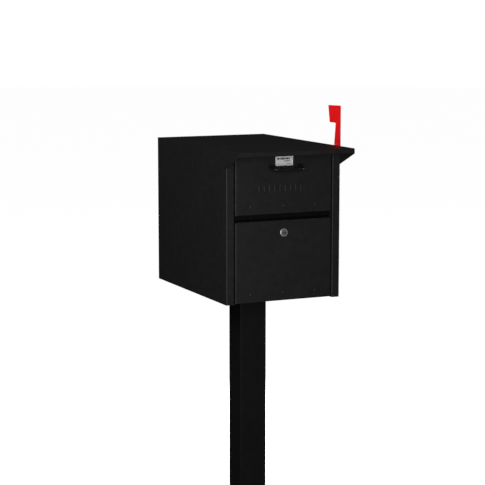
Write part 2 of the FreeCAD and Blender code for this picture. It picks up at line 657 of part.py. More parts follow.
def handle_screw(seat):
    """Screw from inside the door into a foot of the handle."""
    under_head = seat + BACKWARD * SHEET
    shank = rod(SCREW_RADIUS, under_head, -BACKWARD, SHEET + SCREW_BITE - 1)
    head = dome(SCREW_HEAD_RADIUS, SCREW_HEAD_RISE, under_head, BACKWARD)
    return head.fuse(shank).removeSplitter()


def label_plate():
    """Blank plate with a raised rim."""
    h = LABEL_WIDTH / 2
    high = UPPER_DOOR_TOP - LABEL_DROP
    low = high - LABEL_TALL
    thickness = LABEL_THICKNESS + LABEL_RIM_RISE
    plate = outline([(-h, low, LABEL_RIM), (h, low, LABEL_RIM), (h, high, LABEL_RIM), (-h, high, LABEL_RIM)],
                    BACKWARD, FRONT - thickness, thickness)
    panel = block((-h + LABEL_RIM, h - LABEL_RIM), (FRONT - thickness, FRONT - LABEL_THICKNESS),
                  (low + LABEL_RIM, high - LABEL_RIM))
    return plate.cut(panel)


# ---- catch and bumpers ----

def catch_screw_seats():
    return [Vector(side * CATCH_SCREW_PITCH / 2, RAIL_STOP_Y + SHEET, CATCH_Z) for side in (-1, 1)]


def magnet():
    """Bar magnet let into the front of the catch."""
    return block((-MAGNET_WIDTH / 2, MAGNET_WIDTH / 2), (CATCH_FRONT, CATCH_FRONT + MAGNET_DEPTH),
                 (CATCH_Z - MAGNET_TALL / 2, CATCH_Z + MAGNET_TALL / 2))


def catch_housing():
    h = CATCH_WIDTH / 2
    low = CATCH_Z - CATCH_TALL / 2
    high = CATCH_Z + CATCH_TALL / 2
    body = outline([(-h, low, CATCH_CORNER), (h, low, CATCH_CORNER), (h, high, CATCH_CORNER),
                    (-h, high, CATCH_CORNER)],
                   BACKWARD, CATCH_FRONT, RAIL_STOP_Y - CATCH_FRONT)
    bores = [rod(SCREW_RADIUS + HOLE_GAP, seat, -BACKWARD, SHEET + SCREW_BITE)
             for seat in catch_screw_seats()]
    return body.cut([magnet()] + bores)


def catch_screw(seat):
    shank = rod(SCREW_RADIUS, seat, -BACKWARD, SHEET + SCREW_BITE - 1)
    return dome(SCREW_HEAD_RADIUS, SCREW_HEAD_RISE, seat, BACKWARD).fuse(shank).removeSplitter()


def strike_plate():
    return block((-STRIKE_WIDTH / 2, STRIKE_WIDTH / 2), (FRONT + SHEET, FRONT + SHEET + STRIKE_THICKNESS),
                 (CATCH_Z - STRIKE_TALL / 2, CATCH_Z + STRIKE_TALL / 2))


def bumper_seats(door_top):
    """Bumpers on the front of a stop flange, level with the door's lip."""
    z = door_top - DOOR_LIP / 2
    return [Vector(side * (DOOR_HALF - BUMPER_INSET), RAIL_STOP_Y, z) for side in (-1, 1)]


def bumper(seat):
    """Rubber button with a plug through the flange."""
    thickness = DOOR_STOP_GAP - REST_GAP
    button = rod(BUMPER_RADIUS, seat, -BACKWARD, thickness)
    rim = [edge for edge in button.Edges if edge.BoundBox.YMax < seat.y - thickness / 2 and edge.Closed]
    plug = rod(RIVET_RADIUS, seat, BACKWARD, SHEET)
    behind = seat + BACKWARD * SHEET
    tail = Part.makeCone(RIVET_RADIUS * 1.6, RIVET_RADIUS * 0.6, SHEET * 1.5, behind, BACKWARD)
    return button.makeFillet(BUMPER_EDGE, rim).fuse([plug, tail]).removeSplitter()


# ---- cam lock ----

def lock_point(y):
    return Vector(0, y, LOCK_Z)


def lock_body():
    """Threaded barrel with a round face, bored for the plug."""
    face = rod(LOCK_FACE_RADIUS, lock_point(FRONT), -BACKWARD, LOCK_FACE_RISE)
    rim = [edge for edge in face.Edges if edge.BoundBox.YMax < FRONT - LOCK_FACE_RISE / 2 and edge.Closed]
    face = face.makeFillet(LOCK_FACE_EDGE, rim)
    barrel = rod(LOCK_BARREL_RADIUS, lock_point(FRONT), BACKWARD, CAM_FRONT - CAM_GAP - FRONT)
    bore = rod(PLUG_RADIUS + RUNNING_GAP, lock_point(FRONT - LOCK_FACE_RISE - 1), BACKWARD, CABINET_DEPTH / 2)
    return face.fuse(barrel).removeSplitter().cut(bore)


def lock_plug():
    """Round plug with a keyway, and a square tail that carries the cam."""
    front = FRONT - LOCK_FACE_RISE
    plug = rod(PLUG_RADIUS, lock_point(front), BACKWARD, CAM_FRONT - front)
    h = PLUG_TAIL_SIDE / 2
    tail = block((-h, h), (CAM_FRONT, CAM_FRONT + CAM_THICKNESS), (LOCK_Z - h, LOCK_Z + h))
    w = KEYWAY_WIDTH / 2
    t = KEYWAY_HEIGHT / 2
    keyway = block((-t, t), (front - 1, front + KEYWAY_DEPTH), (LOCK_Z - w, LOCK_Z + w))
    ward = block((0, t), (front - 1, front + KEYWAY_DEPTH), (LOCK_Z - 2 * w, LOCK_Z - w))
    screw_hole = rod(CAM_SCREW_RADIUS + HOLE_GAP, lock_point(CAM_FRONT - PLUG_TAIL_SIDE), BACKWARD, CAM_REACH)
    return plug.fuse(tail).removeSplitter().cut([keyway, ward, screw_hole])


def lock_cam():
    """Flat cam, pointing to the right while the door is free to open."""
    h = CAM_WIDTH / 2
    blade = outline([(-h, LOCK_Z - h, h * 0.99), (CAM_REACH, LOCK_Z - h, BEND), (CAM_REACH, LOCK_Z + h, BEND),
                     (-h, LOCK_Z + h, h * 0.99)],
                    BACKWARD, CAM_FRONT, CAM_THICKNESS)
    s = PLUG_TAIL_SIDE / 2 + HOLE_GAP
    hole = block((-s, s), (CAM_FRONT - 1, CAM_FRONT + CAM_THICKNESS + 1), (LOCK_Z - s, LOCK_Z + s))
    return blade.cut(hole)


def cam_screw():
    seat = lock_point(CAM_FRONT + CAM_THICKNESS)
    head = dome(PLUG_TAIL_SIDE * 0.75, SCREW_HEAD_RISE, seat, BACKWARD)
    shank = rod(CAM_SCREW_RADIUS, seat, -BACKWARD, CAM_THICKNESS + PLUG_TAIL_SIDE - 1)
    return head.fuse(shank).removeSplitter()


def lock_nut():
    seat = lock_point(FRONT + SHEET)
    nut = hexagon(LOCK_NUT_FLATS, seat, BACKWARD, LOCK_NUT_THICKNESS)
    return nut.cut(rod(LOCK_BARREL_RADIUS + HOLE_GAP, seat, BACKWARD, LOCK_NUT_THICKNESS))


# ---- flag ----

def flag_point(x):
    return Vector(x, FLAG_PIVOT_Y, FLAG_PIVOT_Z)


def flag():
    """Flat arm with a head that reaches towards the back, standing upright."""
    front = FRONT + FLAG_FRONT
    top = TOP + FLAG_RISE
    foot = top - FLAG_HEAD_TALL
    round_end = FLAG_ARM_WIDTH / 2 * 0.99
    low = FLAG_PIVOT_Z - FLAG_ARM_WIDTH / 2
    plate = outline([(front, low, round_end), (front + FLAG_ARM_WIDTH, low, round_end),
                     (front + FLAG_ARM_WIDTH, TOP, FLAG_ARM_WIDTH),
                     (front + FLAG_NECK_WIDTH, foot, FLAG_CORNER * 2),
                     (front + FLAG_HEAD_FOOT_WIDTH, foot, FLAG_CORNER),
                     (front + FLAG_HEAD_TOP_WIDTH, top - FLAG_TOP_FALL, FLAG_CORNER),
                     (front, top, FLAG_CORNER)],
                    RIGHT, FLAG_INNER_X, FLAG_THICKNESS)
    return plate.cut(rod(BUSH_RADIUS + RUNNING_GAP, flag_point(HALF), RIGHT, FLAG_STANDOFF * 2))


def flag_bush():
    """Plastic bush: a flange that spaces the flag off the side, and a sleeve that it turns on."""
    flange = rod(BUSH_FLANGE_RADIUS, flag_point(HALF), RIGHT, FLAG_STANDOFF - REST_GAP)
    sleeve = rod(BUSH_RADIUS, flag_point(HALF), RIGHT, FLAG_STANDOFF + FLAG_THICKNESS + REST_GAP)
    return flange.fuse(sleeve).removeSplitter().cut(flag_bolt_bore())


def flag_bolt_bore():
    return rod(FLAG_BOLT_RADIUS + HOLE_GAP, flag_point(0), RIGHT, CABINET_WIDTH)


def washer_tube(x, thickness):
    return tube(FLAG_WASHER_RADIUS, FLAG_BOLT_RADIUS + HOLE_GAP, flag_point(x), RIGHT, thickness)


def flag_head_seat():
    return FLAG_OUTER_X + REST_GAP + FLAG_WASHER_THICKNESS


def flag_bolt():
    """Dome-headed bolt from outside, through the flag, the bush and the side panel."""
    head = dome(FLAG_WASHER_RADIUS * 0.85, FLAG_BOLT_RADIUS * 1.2, flag_point(flag_head_seat()), RIGHT)
    end = INNER_HALF - FLAG_WASHER_THICKNESS - FLAG_NUT_THICKNESS - BOLT_TAIL
    shank = rod(FLAG_BOLT_RADIUS, flag_point(end), RIGHT, flag_head_seat() - end)
    return head.fuse(shank).removeSplitter()


def flag_nut():
    seat = flag_point(INNER_HALF - FLAG_WASHER_THICKNESS)
    return hexagon(FLAG_NUT_FLATS, seat, -RIGHT, FLAG_NUT_THICKNESS).cut(flag_bolt_bore())


def flag_stop_points():
    """Stops in front of the raised arm and under the lowered arm."""
    off = FLAG_ARM_WIDTH / 2 + REST_GAP + STOP_RADIUS
    raised = flag_point(HALF) + Vector(0, -off, STOP_RISE)
    lowered = flag_point(HALF) + Vector(0, STOP_RISE, -off)
    return [raised, lowered]


def flag_stop(point):
    """Headed stud riveted through the side panel."""
    stud = rod(STOP_RADIUS, point, RIGHT, FLAG_STANDOFF + FLAG_THICKNESS)
    rim = [edge for edge in stud.Edges if edge.BoundBox.XMin > point.x + FLAG_STANDOFF and edge.Closed]
    neck = rod(RIVET_RADIUS, point, -RIGHT, SHEET)
    tail = rod(RIVET_RADIUS * 1.6, point - RIGHT * SHEET, -RIGHT, RIVET_HEAD_RISE)
    return stud.makeFillet(STOP_EDGE, rim).fuse([neck, tail]).removeSplitter()


def right_side_panel():
    panel = mirrored(left_side_panel()).cut(flag_bolt_bore())
    return drilled(panel, flag_stop_points(), RIGHT, RIVET_RADIUS + HOLE_GAP)


# ---- mounting bolts ----

BOLT_HEAD_SEAT = FLOOR_TOP + DOUBLER_THICKNESS + WASHER_THICKNESS
BOLT_NUT_SEAT = TOP_PLATE_UNDERSIDE - WASHER_THICKNESS


def mounting_bolt(point):
    seat = Vector(point.x, point.y, BOLT_HEAD_SEAT)
    grip = BOLT_HEAD_SEAT - BOLT_NUT_SEAT + BOLT_HEAD_THICKNESS + BOLT_TAIL
    head = hexagon(BOLT_HEAD_FLATS, seat, UP, BOLT_HEAD_THICKNESS)
    return head.fuse(rod(BOLT_RADIUS, seat, -UP, grip)).removeSplitter()


def mounting_washers(point):
    lows = (FLOOR_TOP + DOUBLER_THICKNESS, BOLT_NUT_SEAT)
    return [tube(WASHER_RADIUS, BOLT_RADIUS + HOLE_GAP, Vector(point.x, point.y, z), UP, WASHER_THICKNESS)
            for z in lows]


def mounting_nut(point):
    seat = Vector(point.x, point.y, BOLT_NUT_SEAT)
    return hexagon(BOLT_HEAD_FLATS, seat, -UP, BOLT_HEAD_THICKNESS).cut(
        rod(BOLT_RADIUS + HOLE_GAP, seat, -UP, BOLT_HEAD_THICKNESS))


def main():
    os.makedirs("parts", exist_ok=True)

    save("pedestal_base_plate", base_plate())
    save("pedestal_post", post())
    save("pedestal_top_plate", top_plate())
    save("pedestal_welds", weld(BASE_PLATE_THICKNESS, 1), weld(TOP_PLATE_UNDERSIDE, -1))

    save("left_side_panel", left_side_panel())
    save("right_side_panel", right_side_panel())
    save("top_panel", top_panel())
    save("rear_panel", rear_panel())
    save("floor_panel", floor_panel())
    save("floor_doubler", floor_doubler())
    save("centre_rail", centre_rail())
    save("header_rail", header_rail())
    save("mail_shelf", mail_shelf())
    save("drop_baffle", drop_baffle())
    save("rear_panel_rivets",
         *[rivet(seat, BACKWARD, 2 * SHEET) for seat in rear_rivet_seats() + TOP_ROW + FLOOR_ROW])

    for name, hinge_z in (("upper", UPPER_HINGE_Z), ("lower", LOWER_HINGE_Z)):
        save(name + "_hinge_fixed_leaf", fixed_leaf(hinge_z))
        save(name + "_hinge_door_leaf", door_leaf(hinge_z))
        save(name + "_hinge_pin", hinge_pin(hinge_z))
        save(name + "_hinge_fixed_rivets", *leaf_rivets(hinge_z - HINGE_RISE))
        save(name + "_hinge_door_rivets", *door_rivets(hinge_z))

    save("upper_door_panel", upper_door_panel())
    save("pull_handle", pull_handle())
    save("handle_screws", *[handle_screw(seat) for seat in handle_seats()])
    save("label_plate", label_plate())
    save("catch_housing", catch_housing())
    save("catch_magnet", magnet())
    save("catch_screws", *[catch_screw(seat) for seat in catch_screw_seats()])
    save("strike_plate", strike_plate())
    save("upper_door_bumpers", *[bumper(seat) for seat in bumper_seats(UPPER_DOOR_TOP)])

    save("lower_door_panel", lower_door_panel())
    save("lower_door_bumpers", *[bumper(seat) for seat in bumper_seats(LOWER_DOOR_TOP)])
    save("lock_body", lock_body())
    save("lock_plug", lock_plug())
    save("lock_cam", lock_cam())
    save("lock_cam_screw", cam_screw())
    save("lock_nut", lock_nut())

    save("flag", flag())
    save("flag_bush", flag_bush())
    save("flag_bolt", flag_bolt())
    save("flag_outer_washer", washer_tube(FLAG_OUTER_X + REST_GAP, FLAG_WASHER_THICKNESS))
    save("flag_inner_washer", washer_tube(INNER_HALF - FLAG_WASHER_THICKNESS, FLAG_WASHER_THICKNESS))
    save("flag_nut", flag_nut())
    save("flag_stops", *[flag_stop(point) for point in flag_stop_points()])

    corners = grid(BOLT_SPACING, 0)
    save("mounting_bolts", *[mounting_bolt(point) for point in corners])
    save("mounting_washers", *[washer for point in corners for washer in mounting_washers(point)])
    save("mounting_nuts", *[mounting_nut(point) for point in corners])


main()
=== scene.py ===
"""Locking roadside mailbox on a pedestal: its finishes, weld beads, label print, floor, light and camera.

Metres, +Z up, the doors facing -Y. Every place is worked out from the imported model's own boxes.
"""

import json
import math

import bmesh
import bpy
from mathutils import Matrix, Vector


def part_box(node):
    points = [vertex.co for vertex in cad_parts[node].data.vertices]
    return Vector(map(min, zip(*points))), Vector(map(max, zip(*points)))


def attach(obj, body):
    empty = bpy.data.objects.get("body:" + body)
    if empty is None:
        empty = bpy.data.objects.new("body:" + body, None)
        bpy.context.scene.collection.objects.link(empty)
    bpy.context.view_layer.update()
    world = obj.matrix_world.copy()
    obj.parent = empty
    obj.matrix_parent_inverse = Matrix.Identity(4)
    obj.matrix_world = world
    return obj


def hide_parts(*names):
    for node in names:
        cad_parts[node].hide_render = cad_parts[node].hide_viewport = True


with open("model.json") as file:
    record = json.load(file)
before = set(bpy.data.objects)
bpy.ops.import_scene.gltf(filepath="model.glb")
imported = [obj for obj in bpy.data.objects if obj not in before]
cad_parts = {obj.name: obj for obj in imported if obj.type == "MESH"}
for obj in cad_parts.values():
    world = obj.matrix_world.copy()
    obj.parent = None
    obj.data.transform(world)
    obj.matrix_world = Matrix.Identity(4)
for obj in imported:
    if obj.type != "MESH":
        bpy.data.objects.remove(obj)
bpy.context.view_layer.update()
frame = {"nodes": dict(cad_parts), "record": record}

Z = Vector((0, 0, 1))

# ---- camera ----
CAMERA_AZIMUTH = math.radians(-24.51)
CAMERA_ELEVATION = math.radians(8.19)
CAMERA_DISTANCE = 4.104
AIM_INSET = 0.0454  # aim point in from the cabinet's left side
AIM_DROP = 0.2384  # aim point below the cabinet's top
LENS = 118.67  # millimetres, on a 36 mm sensor

# ---- stage ----
FLOOR_RADIUS = 30.0
FLOOR_SIDES = 96
FLOOR_SHOWN = 0.92  # how pale the floor looks
FLOOR_GLOW = 0.96  # how much it glows to the eye, so that it shows white
FLOOR_BOUNCED = 0.02  # how pale it is to the light that it sends back at the object
FLOOR_ROUGHNESS = 0.9
SKY_SHOWN = 1.0
SKY_LIGHT = 0.0273  # what the object gets from the sky
SOFTBOXES = (
    # name, place from the middle of the cabinet, width, height, watts
    ("front_left_box", (-1.1, -2.3, 0.1), 1.6, 1.6, 52.7),
    ("left_box", (-2.0, -0.2, 1.6), 1.2, 1.2, 34.8),
    ("rear_box", (0.8, 2.4, -0.25), 1.4, 0.8, 32.0),
    ("right_box", (2.3, 0.6, -0.25), 1.2, 0.8, 32.0),
)

# ---- paint: depths and radii in metres, grain in cells to the metre ----
NOISE_SPREAD = (0.3, 0.7)  # where soft noise mostly lies
PEEL_GRAIN = 430.0
PEEL_DEPTH = 0.00009
DUST_GRAIN = 2600.0
DUST_DEPTH = 0.000012
GLOSS_DRIFT = 0.035  # how far the roughness wanders either way
EDGE_RADIUS = 0.0011  # edges sharper than this carry thinner paint and a painted highlight
EDGE_AGREEMENT = (0.72, 0.985)  # how well an edge's rounded normal agrees with its face, from full edge to flat face
EDGE_WEAR_AND_HIGHLIGHT = 1.6  # how much lighter the paint is on edges: thinner paint, and a painted highlight along the folds
HANDLE_SPECULAR = 0.22
HANDLE_COAT = 0.03
HANDLE_COAT_ROUGHNESS = 0.2
FLAG_EDGE_RADIUS = 0.0009
FLAG_EDGE_SHARE = 0.35  # how much of the deeper edge colour the flag's edges take

# ---- bare metal ----
CRYSTAL_GRAIN = 420.0  # zinc's patches to the metre
ZINC_SHADE = (0.80, 0.84, 0.90)  # what a full shade leaves of each channel of the plate
ZINC_MOTTLE = 0.5  # how much of that shade the darkest patches take
BRUSH_ALONG = 30.0  # cells to the metre along the brush lines, and across them
BRUSH_ACROSS = 2200.0
TURNING_WAVE = 16000.0  # radians to the metre: how closely the turned rings follow one another
TURNING_DEPTH = 0.000004

# ---- painted shade: a darker ring round the keyway, where a recess would shade it: how far it darkens, and the radii where it starts and ends ----
KEYWAY_SHADE = 0.75
KEYWAY_SHADE_START = (0.0022, 0.0034)
KEYWAY_SHADE_END = (0.0056, 0.0068)
KEYWAY_SHADE_COLOUR = 0.2  # the ring's colour, as a share of the plate's

# ---- weld beads ----
POST_CORNER = 0.0015
BEAD_LEG = 0.004
BEAD_PITCH = 0.0028
BEAD_RIPPLE = 0.12  # how far the bead sinks between ripples, as a share of its leg
BEAD_RIPPLE_POWER = 0.6  # below 1, for round ripples with narrow valleys
BEAD_WAIST = 0.76  # the skin's reach at its middle, as a share of its leg
BEAD_WAIST_POWER = 1.4
BEAD_STEPS = 8  # rings to each ripple
BEAD_ARC = 8  # faces round the bead's skin

# ---- label print ----
LABEL_MARGIN = 0.0034
LABEL_RIM = 0.0004  # how far the label's rim stands proud of its field
PRINT_RISE = 0.00012
PRINT_GAP = 0.0011
PRINT_ROUNDING = 0.55  # a mark's corner radius, as a share of half its smaller side
PRINT_CORNER_STEPS = 4
PRINT_LINES = (
    # middle's height as a share of the label's, tall in metres, left end and widths as shares of the line
    (0.71, 0.0046, 0.04, (0.16, 0.09, 0.21, 0.12, 0.16, 0.10)),
    (0.46, 0.0020, 0.50, (0.12, 0.20, 0.09)),
    (0.17, 0.0012, 0.62, (0.30,)),
)


# ---- node trees ----

def start(name):
    """A new material, and its shader."""
    material = bpy.data.materials.new(name)
    material.use_nodes = True
    return material, material.node_tree.nodes["Principled BSDF"]


def node(tree, kind, links=None, **settings):
    """A node with its properties set, and each named input linked or given its value."""
    made = tree.nodes.new("ShaderNode" + kind)
    for name, value in settings.items():
        setattr(made, name, value)
    for name, value in (links or {}).items():
        if isinstance(value, bpy.types.NodeSocket):
            tree.links.new(value, made.inputs[name])
        else:
            made.inputs[name].default_value = value
    return made


def own_place(tree, stretch=(1, 1, 1), centre=(0, 0, 0)):
    """The object's own coordinates in metres, from a centre, stretched along each axis."""
    place = node(tree, "TexCoord").outputs["Object"]
    moved = node(tree, "VectorMath", {0: place, 1: centre}, operation="SUBTRACT").outputs["Vector"]
    return node(tree, "VectorMath", {0: moved, 1: stretch}, operation="MULTIPLY").outputs["Vector"]


def noise(tree, place, per_metre, detail=2.0, rough=0.5):
    """Soft noise, with so many cells to the metre."""
    links = {"Vector": place, "Scale": per_metre, "Detail": detail, "Roughness": rough}
    return node(tree, "TexNoise", links).outputs["Fac"]


def spread(tree, value, low, high, at=NOISE_SPREAD):
    """A value between two others, as the input goes from one end of its usual spread to the other."""
    links = {"Value": value, "From Min": at[0], "From Max": at[1], "To Min": low, "To Max": high}
    return node(tree, "MapRange", links).outputs["Result"]


def blend_colours(tree, share, first, second):
    """The first colour where the share is 0, and the second where it's 1."""
    links = {0: share, 6: first, 7: second}
    return node(tree, "Mix", links, data_type="RGBA").outputs[2]


def product(tree, first, second):
    return node(tree, "Math", {0: first, 1: second}, operation="MULTIPLY").outputs["Value"]


def bump(tree, height, depth, under=None):
    """The normal of a skin whose height varies by a depth, laid over another normal if there is one."""
    links = {"Height": height, "Distance": depth, "Strength": 1.0}
    if under is not None:
        links["Normal"] = under
    return node(tree, "Bump", links).outputs["Normal"]


def edge_share(tree, radius):
    """0 on flat stretches, rising to 1 on edges sharper than the radius."""
    rounded = node(tree, "Bevel", {"Radius": radius}, samples=4).outputs["Normal"]
    flat = node(tree, "NewGeometry").outputs["True Normal"]
    agree = node(tree, "VectorMath", {0: rounded, 1: flat}, operation="DOT_PRODUCT").outputs["Value"]
    return spread(tree, agree, 1.0, 0.0, at=EDGE_AGREEMENT)


def scaled(colour, factor):
    """A colour made lighter or darker, with its alpha."""
    return tuple(channel * factor for channel in colour) + (1.0,)


# ---- materials ----

def powder_coat(name, colour, roughness, specular, peel=1.0):
    """Baked powder paint: orange peel, a fine grain, a drifting gloss, and lighter edges, for thinner paint
    and a painted highlight along the folds.
    """
    material, shader = start(name)
    tree = material.node_tree
    place = own_place(tree)
    drift = noise(tree, place, 7.0, detail=4.0)
    patches = noise(tree, place, 60.0, detail=3.0)
    dust = noise(tree, place, DUST_GRAIN, detail=1.0)
    peel_height = noise(tree, place, PEEL_GRAIN, detail=1.5, rough=0.4)
    body = blend_colours(tree, spread(tree, patches, 0.0, 1.0), scaled(colour, 0.86), scaled(colour, 1.14))
    # lighter edges: thinner paint there, and a painted highlight along the folds
    edge = product(tree, edge_share(tree, EDGE_RADIUS), spread(tree, patches, 0.15, 0.55))
    worn_and_highlit = blend_colours(tree, edge, body, scaled(colour, EDGE_WEAR_AND_HIGHLIGHT))
    tree.links.new(worn_and_highlit, shader.inputs["Base Color"])
    gloss = spread(tree, drift, roughness - GLOSS_DRIFT, roughness + GLOSS_DRIFT)
    tree.links.new(gloss, shader.inputs["Roughness"])
    skin = bump(tree, peel_height, PEEL_DEPTH * peel)
    tree.links.new(bump(tree, dust, DUST_DEPTH * peel, skin), shader.inputs["Normal"])
    shader.inputs["Specular IOR Level"].default_value = specular
    return material


def rod_paint(name, colour, roughness):
    """Satin paint on a bent rod: long soft waves under a trace of clear coat."""
    material, shader = start(name)
    tree = material.node_tree
    place = own_place(tree)
    waves = spread(tree, noise(tree, place, 90.0), 0, 1)
    body = blend_colours(tree, waves, scaled(colour, 0.8), scaled(colour, 1.3))
    tree.links.new(body, shader.inputs["Base Color"])
    gloss = spread(tree, noise(tree, place, 35.0, detail=3.0), roughness - 0.04, roughness + 0.06)
    tree.links.new(gloss, shader.inputs["Roughness"])
    tree.links.new(bump(tree, noise(tree, place, 260.0, detail=1.0), 0.00006), shader.inputs["Normal"])
    shader.inputs["Specular IOR Level"].default_value = HANDLE_SPECULAR
    shader.inputs["Coat Weight"].default_value = HANDLE_COAT
    shader.inputs["Coat Roughness"].default_value = HANDLE_COAT_ROUGHNESS
    return material


def flag_paint(name, colour):
    """Satin red paint with orange peel, a little deeper in broad patches and on its edges."""
    material, shader = start(name)
    tree = material.node_tree
    place = own_place(tree)
    patches = noise(tree, place, 45.0, detail=4.0)
    body = blend_colours(tree, spread(tree, patches, 0, 1), scaled(colour, 0.93), scaled(colour, 1.03))
    edge = product(tree, edge_share(tree, FLAG_EDGE_RADIUS), FLAG_EDGE_SHARE)
    tree.links.new(blend_colours(tree, edge, body, scaled(colour, 0.72)), shader.inputs["Base Color"])
    gloss = spread(tree, noise(tree, place, 20.0, detail=3.0), 0.30, 0.40)
    tree.links.new(gloss, shader.inputs["Roughness"])
    tree.links.new(bump(tree, noise(tree, place, 520.0), 0.00006), shader.inputs["Normal"])
    return material


def plated(name, colour, roughness):
    """Zinc plate: crystalline patches that differ in gloss and tint."""
    material, shader = start(name)
    tree = material.node_tree
    place = own_place(tree)
    crystals = node(tree, "TexVoronoi", {"Vector": place, "Scale": CRYSTAL_GRAIN}).outputs["Color"]
    share = node(tree, "RGBToBW", {"Color": crystals}).outputs["Val"]
    shade = tuple(channel * dimmed for channel, dimmed in zip(colour, ZINC_SHADE)) + (1.0,)
    dark = spread(tree, share, 0, ZINC_MOTTLE, at=(0, 1))
    tint = blend_colours(tree, dark, scaled(colour, 1.0), shade)
    tree.links.new(tint, shader.inputs["Base Color"])
    gloss = spread(tree, noise(tree, place, 900.0, detail=3.0), roughness - 0.08, roughness + 0.10)
    tree.links.new(gloss, shader.inputs["Roughness"])
    tree.links.new(bump(tree, noise(tree, place, 1500.0), 0.00002), shader.inputs["Normal"])
    shader.inputs["Metallic"].default_value = 1.0
    return material


def turned_chrome(name, colour, centre):
    """Worn plate on a turned face: fine rings, handling marks, and a ring of painted shade round the keyway.
    """
    material, shader = start(name)
    tree = material.node_tree
    place = own_place(tree, centre=centre)
    flat = node(tree, "VectorMath", {0: place, 1: (1, 0, 1)}, operation="MULTIPLY").outputs["Vector"]
    radius = node(tree, "VectorMath", {0: flat}, operation="LENGTH").outputs["Value"]
    rings = node(tree, "Math", {0: product(tree, radius, TURNING_WAVE)}, operation="SINE").outputs["Value"]
    marks = noise(tree, place, 1100.0, detail=4.0, rough=0.6)
    tint = blend_colours(tree, spread(tree, marks, 0, 1), scaled(colour, 0.88), scaled(colour, 1.0))
    # painted shade: the plate darkens in a ring round the keyway, as a recess round the plug would shade it
    within = spread(tree, radius, 0.0, KEYWAY_SHADE, at=KEYWAY_SHADE_START)
    short_of = spread(tree, radius, 1.0, 0.0, at=KEYWAY_SHADE_END)
    body = blend_colours(tree, product(tree, within, short_of), tint, scaled(colour, KEYWAY_SHADE_COLOUR))
    tree.links.new(body, shader.inputs["Base Color"])
    tree.links.new(spread(tree, marks, 0.34, 0.46), shader.inputs["Roughness"])
    tree.links.new(bump(tree, rings, TURNING_DEPTH), shader.inputs["Normal"])
    shader.inputs["Metallic"].default_value = 1.0
    return material


def brushed(name, colour, roughness, depth, metallic=1.0):
    """Metal with straight brush lines along X."""
    material, shader = start(name)
    tree = material.node_tree
    place = own_place(tree, stretch=(BRUSH_ALONG, BRUSH_ACROSS, BRUSH_ACROSS))
    lines = noise(tree, place, 1.0, detail=3.0, rough=0.6)
    tint = blend_colours(tree, spread(tree, lines, 0, 1), scaled(colour, 0.84), scaled(colour, 1.06))
    tree.links.new(tint, shader.inputs["Base Color"])
    tree.links.new(spread(tree, lines, roughness - 0.07, roughness + 0.09), shader.inputs["Roughness"])
    tree.links.new(bump(tree, lines, depth), shader.inputs["Normal"])
    shader.inputs["Metallic"].default_value = metallic
    return material


def moulded(name, colour, roughness, grain_per_metre, depth, soft=0.0):
    """Moulded plastic, rubber or pressed ferrite: a grain as fine as its mould's, and slight blotches."""
    material, shader = start(name)
    tree = material.node_tree
    place = own_place(tree)
    blotches = noise(tree, place, 140.0, detail=4.0)
    body = blend_colours(tree, spread(tree, blotches, 0, 1), scaled(colour, 0.82), scaled(colour, 1.15))
    tree.links.new(body, shader.inputs["Base Color"])
    grain = noise(tree, place, grain_per_metre, detail=3.0, rough=0.6)
    tree.links.new(spread(tree, grain, roughness - 0.08, roughness + 0.08), shader.inputs["Roughness"])
    tree.links.new(bump(tree, grain, depth), shader.inputs["Normal"])
    shader.inputs["Subsurface Weight"].default_value = soft
    shader.inputs["Subsurface Scale"].default_value = 0.002
    return material


def materials():
    """One material for each slot of the record. The lock's is centred on the lock."""
    lock_low, lock_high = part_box("lock_body")
    lock_centre = tuple((lock_low + lock_high) / 2)
    return {
        "shell_paint": powder_coat("shell_paint", (0.0115, 0.0116, 0.0118), 0.44, specular=0.23),
        # inner_black: a deeper matt black on the inside parts, painted shade that keeps the recess between
        # the doors dark
        "inner_black": powder_coat("inner_black", (0.0021, 0.0021, 0.0021), 0.62, peel=0.8, specular=0.07),
        # pedestal_paint: about half as light as the cabinet's paint, painted shade for the post under the
        # cabinet
        "pedestal_paint": powder_coat("pedestal_paint", (0.0060, 0.0060, 0.0062), 0.46,
                                      peel=1.3, specular=0.15),
        "door_paint": powder_coat("door_paint", (0.0123, 0.0123, 0.0125), 0.42, specular=0.23),
        "hinge_paint": powder_coat("hinge_paint", (0.0092, 0.0092, 0.0094), 0.46, peel=0.7, specular=0.23),
        "pin_steel": brushed("pin_steel", (0.52, 0.52, 0.53), 0.34, 0.00001),
        "handle_black": rod_paint("handle_black", (0.0085, 0.0085, 0.0087), 0.42),
        "lock_chrome": turned_chrome("lock_chrome", (0.80, 0.80, 0.81), lock_centre),
        "zinc_steel": plated("zinc_steel", (0.66, 0.67, 0.69), 0.34),
        "label_silver": brushed("label_silver", (0.80, 0.81, 0.82), 0.42, 0.000008, metallic=0.35),
        "catch_plastic": moulded("catch_plastic", (0.028, 0.028, 0.029), 0.52, 1500.0, 0.00004),
        "magnet_ferrite": moulded("magnet_ferrite", (0.045, 0.044, 0.046), 0.62, 2600.0, 0.00005),
        "bumper_rubber": moulded("bumper_rubber", (0.018, 0.018, 0.018), 0.74, 1900.0, 0.00004),
        "flag_red": flag_paint("flag_red", (0.90, 0.0080, 0.0110)),
        "bush_nylon": moulded("bush_nylon", (0.70, 0.69, 0.64), 0.44, 1200.0, 0.00002, soft=0.25),
    }


def finish_nodes(palette):
    """Each CAD node takes its slot's material."""
    for subpart in frame["record"]["subparts"]:
        slots = frame["nodes"][subpart["node"]].material_slots
        for material_slot in slots:
            material_slot.material = palette[subpart["material_slot"]]


# ---- pieces ----

def add_object(name, data):
    """A new object in the scene, with its mesh, lamp or camera."""
    made = bpy.data.objects.new(name, data)
    bpy.context.scene.collection.objects.link(made)
    return made


